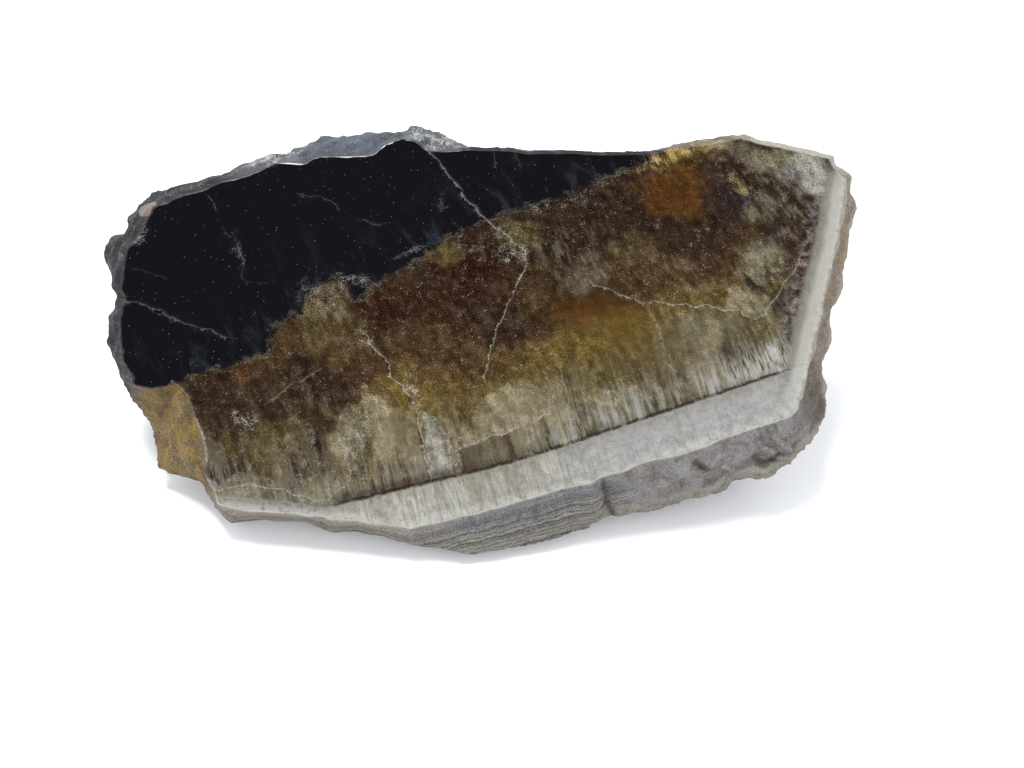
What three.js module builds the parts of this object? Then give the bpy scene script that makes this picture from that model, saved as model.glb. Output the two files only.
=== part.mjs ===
// A piece of botryoidal citrine: one stone, wedge shaped, with a polished face that slopes down
// to the front. A layered rim runs along the front and the right, a rough broken edge along the
// left and the back, and a lumpy crust covers the sides and the underside, down to a flat foot.
// Millimetres, +Z up, +Y towards the back. The origin is below the middle, on the ground.
import * as THREE from "three";

// Driving dimensions
const FACE_SLOPE_DEG = 28; // the polished face rises this steeply towards the back
const FACE_FRONT_HEIGHT = 5; // its front point is this far above the ground
const COLUMN_SPACING = 1.75; // the rim is divided into steps of about this length
const WALL_RINGS = 18; // steps from the rim down to the foot
const FACE_MIDDLE_UP = 24; // the middle of the polished face is this far up its slope
const FOOT = { across: 1, back: 20, halfLength: 27, halfDepth: 14.5 }; // the flat it rests on
const LUMP = { spacing: 7, radius: 4.2, height: 2.8 }; // the grape-like lumps of the crust
const LUMP_SIZES = { least: 0.8, spread: 0.4 }; // they come in 0.8 to 1.2 times that size
const BLEND_COLUMNS = 7; // the walls of two neighbouring sides blend over this many columns each
const CLEARANCE_AT_RIM = 1; // least height above the ground at the rim, down to 0 at the foot

// The small irregularities. Scale is how many there are to a millimetre, or on the edge to each
// of its points, and seed picks the pattern.
const EDGE_BUMPS = { scale: 1.7, seed: 3 };
const STRIP_BUMPS = { scale: 0.8, seed: 1 };
const WALL_BUMPS = { scale: 0.35, seed: 2 };
const WALL_BUMP_HEIGHT = 1.5; // those of the wall are this many times a side's roughness
const STRIP_FADE = 1 / 3; // on the strip they grow to full size over this share of its width
const WALL_FADE = { top: 1 / 4, bottom: 1 / 5 }; // relief fades out over these shares of the wall
const LUMP_SEEDS = { place: 9, size: 5 };

// The strip between the polished face and the outer rim drops in these steps. Each profile gives
// the share of the drop that is reached at each share of the strip's width.
const STRIP_STEPS = [0.07, 0.3, 0.52, 0.6, 0.78, 0.86, 1];
const LEDGES = [0.05, 0.3, 0.42, 0.62, 0.7, 0.92, 1];
const ROUNDED = [0.02, 0.12, 0.26, 0.34, 0.58, 0.72, 1];
const STRAIGHT = STRIP_STEPS;
const STEPPED_DOWN = [0.16, 0.34, 0.52, 0.58, 0.75, 0.84, 1];

// The sides of the stone, anticlockwise from the front point. Each point holds a place on the
// edge of the polished face, the place on the outer rim beside it, and how far the rim lies
// below the plane of the face. Places are [across, up the slope], measured on that plane.
// "rough" is the size of the small irregularities. Of the wall below the rim, "lumpy" is how
// strong the lumps of the crust are, from 0 to 1, "belly" is how far it swells out, and "undercut"
// is 0 where it turns under in a quarter circle, 1 where it slants straight in to the foot, and
// over 1 where it is slightly hollow.
const SIDES = [
  {
    name: "layered front rim",
    profile: LEDGES,
    rough: 0.14,
    lumpy: 0.35,
    belly: 0,
    undercut: 1.1,
    points: [
      [[0, 0], [2, -4], 2.7],
      [[2, 0.7], [6.5, -2.7], 3.3],
      [[7, 2.8], [11, -1], 4],
      [[11.5, 4.5], [15.7, 1.3], 4.6],
      [[15, 5.7], [18, 3.3], 5],
    ],
  },
  {
    name: "chipped shells of the right front corner",
    profile: LEDGES,
    rough: 0.3,
    lumpy: 0.35,
    belly: 0,
    undercut: 1.1,
    points: [
      [[16, 6.5], [19.5, 3.2], 5.2],
      [[20, 8.2], [24.2, 4.7], 5.8],
      [[24, 9.8], [28, 6.6], 6.3],
      [[26, 10.6], [31.7, 7.6], 6.4],
      [[28, 11.3], [33, 9.2], 6.5],
      [[32, 13.5], [36, 9.9], 6.3],
      [[35.5, 14.9], [39.3, 11.3], 6],
      [[37.5, 16], [40.5, 13], 5.8],
      [[38.5, 17.2], [42.4, 15], 5.5],
      [[39, 18.5], [43.7, 18], 5],
    ],
  },
  {
    name: "crust along the right side",
    profile: ROUNDED,
    rough: 0.25,
    lumpy: 0.8,
    belly: 0,
    undercut: 0.7,
    points: [
      [[39.5, 21], [43.2, 20.5], 4.2],
      [[40, 23], [42.5, 24.2], 3.8],
      [[40.5, 26], [43.5, 27.3], 3.6],
      [[41, 28.5], [43.3, 30.5], 3.4],
      [[41.5, 31.5], [44.4, 33], 3.2],
      [[42.3, 35.7], [44.6, 36.3], 3],
      [[43, 38.5], [45, 39.3], 2.8],
      [[43.3, 40.7], [45.1, 42], 2.6],
      [[43.8, 43], [45.9, 44.6], 2.4],
      [[43.8, 45], [45, 46.3], 2],
      [[43.7, 47.3], [45, 48.9], 1.8],
    ],
  },
  {
    name: "smooth bevel of the back right corner",
    profile: STRAIGHT,
    rough: 0.08,
    lumpy: 0.9,
    belly: 2,
    undercut: 0.1,
    points: [
      [[42, 49], [42.9, 50.1], 1.4],
      [[41.5, 50], [42.7, 51.4], 1.4],
      [[37.5, 50.5], [38, 52], 1.2],
      [[33, 51], [33.1, 52.4], 1.2],
      [[30.3, 51.5], [31, 53], 1.2],
      [[26.2, 50.3], [26.4, 51.9], 1.2],
      [[22.8, 49.3], [22.9, 50.7], 1],
    ],
  },
  {
    name: "sharp back edge",
    profile: STRAIGHT,
    rough: 0.1,
    lumpy: 0.9,
    belly: 4,
    undercut: 0,
    points: [
      [[19, 48.1], [18.9, 48.9], 0.6],
      [[13, 47.3], [13, 48], 0.6],
      [[7.5, 46.9], [7.4, 47.7], 0.6],
      [[3.7, 46.3], [3.7, 47.1], 0.6],
      [[1.7, 46.5], [1.7, 47.3], 0.6],
      [[-3.5, 46], [-3.5, 46.7], 0.6],
    ],
  },
  {
    name: "frosted fracture of the back left",
    profile: STRAIGHT,
    rough: 0.3,
    lumpy: 0.35,
    belly: 3.5,
    undercut: 0,
    points: [
      [[-8.2, 45.2], [-7.7, 48.5], 1.5],
      [[-9.2, 45.7], [-9.7, 49.3], 1.8],
      [[-10.5, 46.7], [-11, 49.5], 2],
      [[-12.3, 46.6], [-12.8, 48.5], 2],
      [[-14.3, 45.2], [-14.2, 48.4], 2.4],
      [[-16, 43.8], [-18.8, 48], 3],
      [[-22, 42.8], [-22.6, 47.2], 3],
      [[-23.7, 41.9], [-26, 44.6], 2.6],
      [[-27.2, 41.4], [-28.6, 43.2], 2],
      [[-30.4, 39.4], [-31.4, 41.4], 1.8],
    ],
  },
  {
    name: "broken left corner",
    profile: STRAIGHT,
    rough: 0.35,
    lumpy: 0.2,
    belly: 1,
    undercut: 0.35,
    points: [
      [[-33, 38.1], [-34.1, 39.9], 1.6],
      [[-38.5, 35.3], [-39.8, 37.4], 2],
      [[-40.8, 33.9], [-42.4, 36.6], 2.5],
      [[-41.9, 31], [-44.6, 33.2], 2.4],
      [[-42.1, 29.4], [-44.2, 30.9], 2.2],
      [[-42.8, 28.3], [-46.3, 30.3], 2.6],
      [[-42.9, 26.3], [-46.4, 27.9], 2.4],
      [[-42.9, 24.7], [-45.3, 26.5], 2],
      [[-42.3, 22], [-43.7, 22.4], 1.5],
      [[-42.2, 19.6], [-44.3, 20.1], 2],
      [[-41.4, 16.4], [-43.4, 16.8], 2],
      [[-40.5, 14.1], [-42.9, 15.5], 2.2],
      [[-39, 11.5], [-41.4, 13], 2.5],
    ],
  },
  {
    name: "honey-coloured chip of the left front corner",
    profile: STEPPED_DOWN,
    rough: 0.2,
    lumpy: 0.3,
    belly: 0,
    undercut: 0.9,
    points: [
      [[-36.8, 11.3], [-40.2, 10.8], 3],
      [[-33.9, 12], [-38.9, 9.8], 3.4],
      [[-32.5, 10.8], [-37.9, 8.3], 3.7],
      [[-31.1, 8.4], [-37, 6.4], 4],
      [[-30, 6.6], [-36.2, 5], 4.2],
      [[-29, 4.6], [-36, 3], 4.4],
      [[-28.8, 3.5], [-34.4, 2.4], 4.4],
      [[-29, 2.3], [-32.3, 2], 4.2],
      [[-28.3, 1.3], [-30.5, 1.8], 4],
    ],
  },
  {
    name: "thin left front rim",
    profile: LEDGES,
    rough: 0.16,
    lumpy: 0.3,
    belly: 0,
    undercut: 1.1,
    points: [
      [[-27.5, 0.4], [-29.1, 0.2], 3.6],
      [[-26.8, -1.2], [-27.4, -1.7], 3.3],
      [[-24.6, -1.6], [-25.6, -2.9], 3],
      [[-21.7, -1.5], [-22.5, -2.2], 3],
      [[-16.3, -1.4], [-17.2, -1.9], 3.2],
      [[-14, -1.4], [-14, -2.8], 3.2],
      [[-10.9, -1.4], [-11.2, -2.2], 3.1],
      [[-7.4, -1.6], [-7.2, -2.8], 3],
      [[-4.9, -1.5], [-4.6, -3.2], 2.9],
      [[-2.4, -0.7], [-1.3, -3.5], 2.8],
    ],
  },
];

const slope = THREE.MathUtils.degToRad(FACE_SLOPE_DEG);
const uphill = new THREE.Vector3(0, Math.cos(slope), Math.sin(slope));
const faceNormal = new THREE.Vector3(0, -Math.sin(slope), Math.cos(slope));

// A place given across and up the slope of the polished face, and below its plane.
function onFace(across, up, below = 0) {
  return new THREE.Vector3(across, 0, FACE_FRONT_HEIGHT)
    .addScaledVector(uphill, up)
    .addScaledVector(faceNormal, -below);
}

// A fixed number between 0 and 1 for each whole-number place.
function scatter(i, j, k) {
  const wave = Math.sin(i * 127.1 + j * 311.7 + k * 74.7) * 43758.5453;
  return wave - Math.floor(wave);
}

// Smooth bumps between -1 and 1. Each seed reads another layer of the same numbers.
function bumps(place, { scale, seed }) {
  const layersApart = 17;
  const x = place.x * scale;
  const y = place.y * scale;
  const z = place.z * scale + seed * layersApart;
  const [i, j, k] = [x, y, z].map(Math.floor);
  const [u, v, w] = [x - i, y - j, z - k].map((f) => f * f * (3 - 2 * f));
  const along = (dj, dk) =>
    THREE.MathUtils.lerp(scatter(i, j + dj, k + dk), scatter(i + 1, j + dj, k + dk), u);
  const low = THREE.MathUtils.lerp(along(0, 0), along(1, 0), v);
  const high = THREE.MathUtils.lerp(along(0, 1), along(1, 1), v);
  return 2 * THREE.MathUtils.lerp(low, high, w) - 1;
}

// The mean of a value over a column and its neighbours on both sides.
function blended(columns, middle, key) {
  let sum = 0;
  for (let away = -BLEND_COLUMNS; away <= BLEND_COLUMNS; away++)
    sum += columns.at((middle + away) % columns.length).side[key];
  return sum / (2 * BLEND_COLUMNS + 1);
}

// The rim cut into columns: each point of the sides, with more between them where they are
// far apart. A column holds the edge, the rim and what its side is like.
function makeColumns() {
  const stops = SIDES.flatMap((side) =>
    side.points.map(([edge, rim, drop]) => ({
      side,
      edge: new THREE.Vector2(...edge),
      rim: new THREE.Vector2(...rim),
      drop,
    })),
  );
  const faceMiddle = new THREE.Vector2(0, FACE_MIDDLE_UP);
  const columns = [];
  stops.forEach((from, n) => {
    const to = stops[(n + 1) % stops.length];
    const count = Math.max(1, Math.round(from.rim.distanceTo(to.rim) / COLUMN_SPACING));
    for (let step = 0; step < count; step++) {
      const share = step / count;
      const wobble = from.side.rough * bumps(new THREE.Vector3(n + share, share, 0), EDGE_BUMPS);
      const edge = from.edge.clone().lerp(to.edge, share);
      edge.addScaledVector(edge.clone().sub(faceMiddle).normalize(), wobble);
      columns.push({
        side: from.side,
        edge,
        rim: from.rim.clone().lerp(to.rim, share),
        drop: THREE.MathUtils.lerp(from.drop, to.drop, share),
      });
    }
  });
  columns.forEach((column, c) => {
    column.lumpy = blended(columns, c, "lumpy");
    column.belly = blended(columns, c, "belly");
    column.undercut = blended(columns, c, "undercut");
  });
  return columns;
}

// The point of the foot's edge that lies below a place on the rim.
function footBelow(rim) {
  const angle = Math.atan2(
    (rim.y - FOOT.back) / FOOT.halfDepth,
    (rim.x - FOOT.across) / FOOT.halfLength,
  );
  return new THREE.Vector3(
    FOOT.across + FOOT.halfLength * Math.cos(angle),
    FOOT.back + FOOT.halfDepth * Math.sin(angle),
    0,
  );
}

// The wall below a column's rim, at a share of the way down to the foot: its place there, and
// which way is out of the stone.
function wallAt({ rimPlace, foot, belly, undercut }, share) {
  const turn = (share * Math.PI) / 2;
  const out = new THREE.Vector3(rimPlace.x - foot.x, rimPlace.y - foot.y, 0).normalize();
  const rounded = rimPlace.clone().lerp(foot, 1 - Math.cos(turn));
  rounded.z = rimPlace.z * (1 - Math.sin(turn));
  const place = rounded.lerp(rimPlace.clone().lerp(foot, share), undercut);
  place.addScaledVector(out, belly * Math.sin(Math.PI * share));
  const outward = out.multiplyScalar(Math.cos(turn)).setZ(-Math.sin(turn));
  return { place, outward };
}

// The crust's lumps: each place on the wall that is far enough from those before it gets one.
function makeLumps(columns) {
  const lumps = [];
  columns.forEach((column, c) => {
    for (let ring = 1; ring < WALL_RINGS; ring++) {
      const jitter = scatter(c, ring, LUMP_SEEDS.place) - 0.5;
      const { place } = wallAt(column, (ring + jitter) / WALL_RINGS);
      const size = LUMP_SIZES.least + LUMP_SIZES.spread * scatter(c, ring, LUMP_SEEDS.size);
      if (lumps.some((lump) => lump.place.distanceTo(place) < LUMP.spacing * size)) continue;
      lumps.push({ place, radius: LUMP.radius * size, height: LUMP.height * size });
    }
  });
  return lumps;
}

// How far the lumps lift the crust at a place.
function lumpLift(lumps, place) {
  return lumps.reduce((lift, lump) => {
    const away = place.distanceTo(lump.place) / lump.radius;
    return away < 1 ? Math.max(lift, lump.height * Math.sqrt(1 - away * away)) : lift;
  }, 0);
}

// The rings of the stone's surface, from the edge of the polished face to the edge of the foot.
function makeRings() {
  const columns = makeColumns();
  const faceEdge = columns.map(({ edge }) => onFace(edge.x, edge.y));
  const strip = STRIP_STEPS.map((share, ring) =>
    columns.map((column) => {
      const flat = column.edge.clone().lerp(column.rim, share);
      const place = onFace(flat.x, flat.y, column.drop * column.side.profile[ring]);
      const out = column.rim.clone().sub(column.edge).normalize();
      const fade = Math.min(1, share / STRIP_FADE);
      const rise = column.side.rough * bumps(place, STRIP_BUMPS) * fade;
      place.addScaledVector(faceNormal, rise);
      place.addScaledVector(new THREE.Vector3(out.x, 0, 0).addScaledVector(uphill, out.y), rise);
      return place;
    }),
  );
  columns.forEach((column, c) => {
    column.rimPlace = strip.at(-1)[c];
    column.foot = footBelow(column.rimPlace);
  });
  const lumps = makeLumps(columns);
  const wall = [];
  for (let ring = 1; ring < WALL_RINGS; ring++) {
    const share = ring / WALL_RINGS;
    const fade = Math.min(1, share / WALL_FADE.top, (1 - share) / WALL_FADE.bottom);
    wall.push(
      columns.map((column) => {
        const { place, outward } = wallAt(column, share);
        const grain = WALL_BUMP_HEIGHT * column.side.rough * bumps(place, WALL_BUMPS);
        const lift = column.lumpy * lumpLift(lumps, place) + grain;
        place.addScaledVector(outward, fade * lift);
        place.z = Math.max(place.z, CLEARANCE_AT_RIM * (1 - share));
        return place;
      }),
    );
  }
  return [faceEdge, ...strip, ...wall, columns.map(({ foot }) => foot)];
}

// One closed surface: the rings joined by triangles, the polished face on top and the foot.
function stoneGeometry() {
  const rings = makeRings();
  const count = rings[0].length;
  const indices = [];
  for (let ring = 0; ring + 1 < rings.length; ring++) {
    for (let c = 0; c < count; c++) {
      const next = (c + 1) % count;
      const [upper, upperNext] = [ring * count + c, ring * count + next];
      const [lower, lowerNext] = [upper + count, upperNext + count];
      indices.push(upper, lower, lowerNext, upper, lowerNext, upperNext);
    }
  }
  const faceOutline = rings[0].map((p) => new THREE.Vector2(p.x, p.y));
  THREE.ShapeUtils.triangulateShape(faceOutline, []).forEach((corner) => indices.push(...corner));
  const footStart = (rings.length - 1) * count;
  const footOutline = rings.at(-1).map((p) => new THREE.Vector2(p.x, p.y));
  THREE.ShapeUtils.triangulateShape(footOutline, []).forEach(([a, b, c]) =>
    indices.push(footStart + c, footStart + b, footStart + a),
  );
  const geometry = new THREE.BufferGeometry().setFromPoints(rings.flat());
  geometry.setIndex(indices);
  geometry.computeVertexNormals();
  return geometry;
}

// Smoky golden quartz, glassy where it is polished
const citrine = new THREE.MeshStandardMaterial({
  color: 0x6a5a44,
  roughness: 0.35,
  metalness: 0,
  flatShading: true,
});

const stone = new THREE.Mesh(stoneGeometry(), citrine);
stone.name = "citrine_stone";
stone.geometry.computeBoundingBox();
const middle = stone.geometry.boundingBox.getCenter(new THREE.Vector3());
stone.position.set(-middle.x, -middle.y, 0);

const part = new THREE.Group();
part.add(stone);

export default part;
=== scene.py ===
"""A piece of botryoidal citrine with one polished face, on a white floor in soft light."""
import math

import bpy
import numpy as np
from mathutils import Matrix, Vector, noise


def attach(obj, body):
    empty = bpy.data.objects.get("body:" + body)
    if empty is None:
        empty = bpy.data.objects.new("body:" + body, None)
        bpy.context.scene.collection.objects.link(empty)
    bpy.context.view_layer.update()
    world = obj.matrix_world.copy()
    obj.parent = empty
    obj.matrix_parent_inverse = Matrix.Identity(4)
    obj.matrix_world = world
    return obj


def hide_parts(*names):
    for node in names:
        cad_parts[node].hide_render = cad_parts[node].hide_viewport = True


bl_info = {
    "name": "Botryoidal Citrine",
    "version": (1, 0, 0),
    "blender": (4, 5, 0),
    "location": "3D View > Sidebar > Citrine",
    "description": "Builds a polished piece of botryoidal citrine and a plain stage for it",
    "category": "Object",
}

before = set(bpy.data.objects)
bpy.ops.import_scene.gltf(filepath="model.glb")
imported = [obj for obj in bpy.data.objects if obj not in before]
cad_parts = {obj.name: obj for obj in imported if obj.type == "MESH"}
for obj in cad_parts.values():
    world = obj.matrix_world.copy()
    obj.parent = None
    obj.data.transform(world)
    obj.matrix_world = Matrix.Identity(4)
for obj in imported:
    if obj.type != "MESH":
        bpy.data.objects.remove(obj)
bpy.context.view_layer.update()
MM = 0.001

# The polished face: a plane that rises towards the back. Places on it are given in millimetres
# across and up its slope from its front point, and below its plane.
FACE_SLOPE = math.radians(28)
FACE_FRONT = Vector((0.262, -22.983, 5.0))
ACROSS = Vector((1, 0, 0))
UPHILL = Vector((0, math.cos(FACE_SLOPE), math.sin(FACE_SLOPE)))
FACE_NORMAL = Vector((0, -math.sin(FACE_SLOPE), math.cos(FACE_SLOPE)))

# Lines on the polished face, each a list of places across and up
SMOKY_EDGE = [
    (-46, 8), (-38, 10.5), (-30, 14.3), (-24.4, 17.2), (-23.6, 20.5), (-21, 22.8), (-20, 25.4),
    (-17, 26.9), (-14.8, 25), (-11.6, 28), (-7, 31.4), (-5.5, 33.6), (-2, 35.8), (4.5, 39.3),
    (9, 41), (13.5, 44.3), (19, 46.5), (20.5, 48.7), (22, 54),
]
DARK_LINE = [
    (-29, -0.6), (-26.5, -0.2), (-22.4, -0.1), (-18, -0.1), (-15.5, -0.2), (-12.9, 0.5), (-5.5, 3.2), (6, 7.4),
    (20.5, 14), (36.6, 21.5),
]
RIND_EDGE = [
    (-30, -2), (-27, -1.6), (-11, -1.4), (-5.7, -1.7), (-1.7, -0.4), (7.1, 2.8), (14.9, 5.7),
    (23.8, 9.8), (32.2, 13.5), (37.3, 15.9), (39.3, 20), (40.7, 27.1), (43, 39), (44, 48), (44.5, 54),
]
STEP_EDGE = [(-34.5, 12.4), (-32.8, 11), (-31.4, 8.7), (-30, 6.6), (-29, 4.2), (-29.2, 2.2), (-27.4, 1)]

# Healed cracks and crystal edges that show as fine pale lines: how bright each is, how wide, its line
CRACKS = [
    (0.6, 0.11, [(-9, 46), (-5.7, 42.2), (-2.6, 38.7), (1.6, 35.3), (4.9, 33.1)]),
    (0.7, 0.09, [(4.9, 33.1), (5, 30.7), (3.6, 27.2), (1.9, 20.5), (1.5, 16.8)]),
    (0.45, 0.06, [(-42.6, 21.6), (-39.6, 21.3), (-36.3, 20.2), (-32, 18.9), (-29.2, 18.5)]),
    (0.25, 0.07, [(-23.5, 37.5), (-21, 37.3), (-19, 36.4)]),
    (0.22, 0.06, [(-15.2, 34.8), (-12.6, 35.1)]),
    (0.1, 0.07, [(-31.8, 31.8), (-29.5, 29.5), (-28.4, 25.7), (-26.2, 25.6)]),
    (0.15, 0.06, [(-41.6, 25.5), (-37.9, 24.9)]),
    (0.25, 0.08, [(-34.5, 35.8), (-33.5, 34.7)]),
    (0.25, 0.04, [(-0.5, 46), (-0.1, 44)]),
    (0.2, 0.05, [(2.1, 46.3), (2.8, 44.7)]),
    (0.8, 0.08, [(-13.2, 20.5), (-10.3, 17.8), (-9.1, 15.6), (-6.5, 13.2), (-5.3, 10.1), (-3.4, 4.3)]),
    (0.6, 0.08, [(-5.3, 12.2), (-3.1, 10.8), (-1.3, 7.5), (0.3, 4), (1.7, 1)]),
    (0.5, 0.06, [(-22.9, 11.4), (-18, 15.6)]),
    (0.8, 0.08, [(12.5, 30.2), (14.9, 29.5), (18.8, 28.4), (28.6, 28.6), (33.2, 27.5)]),
    (0.55, 0.1, [(33.2, 27.5), (35, 29.9), (36.6, 32.9), (38.1, 35.9)]),
    (0.35, 0.08, [(18.8, 29), (21.1, 25.6), (22.8, 22.4), (24.7, 18.7)]),
    (0.45, 0.1, [(10.1, 19.1), (13.2, 10.9)]),
    (0.35, 0.08, [(8.6, 18.2), (12.4, 10.9)]),
    (0.8, 0.08, [(-1.4, 7.6), (3, 9.8), (7.1, 11.8), (9.6, 13.3)]),
    (0.3, 0.08, [(9.6, 13.3), (9, 15.7), (6.7, 16.5), (3.9, 16.2)]),
    (0.7, 0.1, [(-27.3, 0.5), (-23.5, 1.3), (-19.9, 1.2), (-15.7, 0.5)]),
    (0.4, 0.08, [(-14.3, 0.9), (-12.6, 3.2), (-12.8, 5)]),
]

# Flat crystal sides inside the stone, which show as clear-edged panes: colour, strength, corners
PANES = [
    ("tan", 0.6, [(-12.4, 14.9), (-10.2, 12), (-7.7, 6.1), (-10, 5.5), (-11.2, 9), (-12.5, 12.5)]),
    ("haze", 0.6, [(-14.1, 11.9), (-12.4, 12.3), (-11.6, 10.4), (-11.1, 6.4), (-10.4, 3.9), (-11.3, 3.2),
                   (-12.8, 4.9), (-14, 6.5), (-14.9, 8.6), (-14.7, 10.8)]),
    ("milk", 0.4, [(-5.2, 12.1), (-3.4, 10.9), (-1.3, 7.5), (0.3, 4), (-3.5, 4.3), (-4.4, 7.9)]),
    ("olive", 0.5, [(-3.6, 16.5), (0.3, 11.8), (-1.4, 7.8), (-4.2, 11.9)]),
    ("tan", 0.6, [(1.1, 14.1), (3.8, 16.2), (6.4, 16.2), (8.6, 15.1), (9.5, 14), (8.9, 12.6), (4.8, 10.4),
                  (0, 8.3)]),
    ("haze", 0.55, [(31.3, 36.1), (34.3, 37.3), (36.5, 36.7), (35.5, 33.1), (33.4, 31.7), (31.8, 33.4)]),
    ("tan", 0.7, [(30, 32.1), (31.2, 31.4), (33.5, 27.8), (32.1, 27.7), (29.1, 28.7)]),
    ("milk", 0.6, [(34.1, 24.4), (35.5, 24.9), (36.9, 20.9), (35.3, 20.3)]),
    ("plum", 0.6, [(36, 29), (38.4, 30), (38.8, 25.6), (37.6, 22.7), (36.4, 24.1)]),
    ("tan", 0.3, [(-19.8, 8.1), (-17.8, 5), (-15.8, 0.9), (-16.8, 0.6), (-19.3, 4.5), (-20.7, 7.2)]),
    ("umber", 0.85, [(-18.2, 9.3), (-16.3, 8.5), (-14.3, 4.7), (-16, 2.3), (-17.3, 4.7)]),
    ("plum", 0.7, [(-28.9, 3.5), (-26.7, 3.1), (-26.8, 1.3), (-28.2, 1.2)]),
    ("tan", 0.35, [(-10.1, 12.4), (-6.1, 12.1), (-5.3, 10.7), (-4.4, 6.4), (-7.6, 6.1), (-9.2, 9.2)]),
    ("brown", 0.7, [(-9.9, 5.3), (-4.2, 6.2), (-3.5, 4), (-6.9, 2.6), (-9.3, 1.4), (-10, 2.9)]),
]

# Clouds in the stone: what they hold, place, reach across and up, turn in degrees, strength
CLOUDS = [
    ("brown", -20, 9, 9, 5, 10, 0.8),
    ("umber", -24, 10.5, 6, 3, 10, 0.7),
    ("umber", -21, 13, 9, 4, 10, 0.5),
    ("haze", 25.5, 24, 6, 4, 10, 0.6),
    ("haze", 31, 24, 5, 3.5, 20, 0.15),
    ("tan", 26, 20, 7, 3, 20, 0.4),
    ("brown", -9.5, 23, 15.5, 5, 14, 0.8),
    ("red_smoke", -10, 24, 7, 3.5, 14, 0.9),
    ("red_smoke", -1.5, 27.5, 5.5, 6.5, 6, 0.85),
    ("umber", 2.5, 23.5, 5.5, 3.5, -14, 0.9),
    ("umber", -17.5, 14.5, 5, 2.5, 6, 0.8),
    ("umber", -29.5, 11, 4.5, 5, 6, 0.9),
    ("umber", -18, 4.5, 2.5, 4, 26, 0.8),
    ("umber", -29.5, 4, 2.5, 3, 6, 0.7),
    ("umber", -26.5, 3, 3, 2.5, 6, 0.9),
    ("olive", -22.5, 6, 3.5, 3.5, 6, 0.85),
    ("golden", -6, 13, 2, 4, 29, 0.6),
    ("brown", 1.5, 18.5, 4.5, 2.5, 6, 0.7),
    ("olive", -17, 20, 4, 3, 6, 0.55),
    ("olive", -19, 24.5, 3, 3, 6, 0.5),
    ("olive", -19.5, 22.5, 1.5, 1.5, 6, 0.8),
    ("olive", -4.5, 31.5, 2, 2, 6, 0.8),
    ("olive", 4, 36, 3, 1.5, 6, 0.5),
    ("olive", 4.5, 34.5, 1.5, 2.5, 6, 0.6),
    ("tan", 5.5, 12.5, 5.5, 3.5, 20, 0.8),
    ("tan", -9.5, 9.5, 1.5, 4.5, 29, 0.8),
    ("tan", -14, 8, 1.5, 4, 14, 0.6),
    ("tan", -1.5, 8, 2, 4, 29, 0.7),
    ("amber", 13.5, 26, 6, 2.5, -2, 0.9),
    ("golden", 17.5, 24, 6, 3.5, -2, 0.8),
    ("golden", 10, 21, 6, 2, 6, 0.55),
    ("olive", 22, 20.5, 5.5, 2.5, 20, 0.8),
    ("tan", 15, 15.5, 7, 1.5, 20, 0.5),
    ("olive", 18, 35, 3, 2.5, 6, 0.4),
    ("amber", 23.5, 43.5, 5.5, 3, 6, 0.9),
    ("tan", 27.5, 50, 5, 1.6, 4, 0.4),
    ("golden", 22.5, 47.5, 4, 1.6, 14, 0.9),
    ("plum", 29, 42, 3, 4.5, 6, 0.85),
    ("umber", 26, 38, 6, 3, 16, 0.7),
    ("haze", 13, 31, 3, 2, 36, 0.3),
    ("olive", 26, 31.5, 6, 2, 16, 0.6),
    ("haze", 33.5, 42.5, 2.5, 2, 6, 0.4),
    ("haze", 34.5, 35.5, 2.5, 3, -14, 0.5),
    ("haze", 33.5, 29, 3, 2.5, -14, 0.6),
    ("plum", 36, 39.5, 2, 4.5, 16, 0.7),
    ("plum", 33.5, 32, 2.5, 1, -29, 0.8),
    ("umber", 31.5, 23.5, 2.5, 2.5, 6, 0.5),
    ("milk", 38.5, 47.5, 3, 3, 6, 0.5),
    ("haze", 34.5, 48.5, 3.5, 2, -10, 0.8),
    ("plum", 37, 31, 1.8, 3, -20, 0.8),
    ("umber", 38.5, 40, 1.5, 7, 8, 0.4),
    ("amber", -25.8, 14, 1.2, 0.8, 0, 0.7),
]

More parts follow.
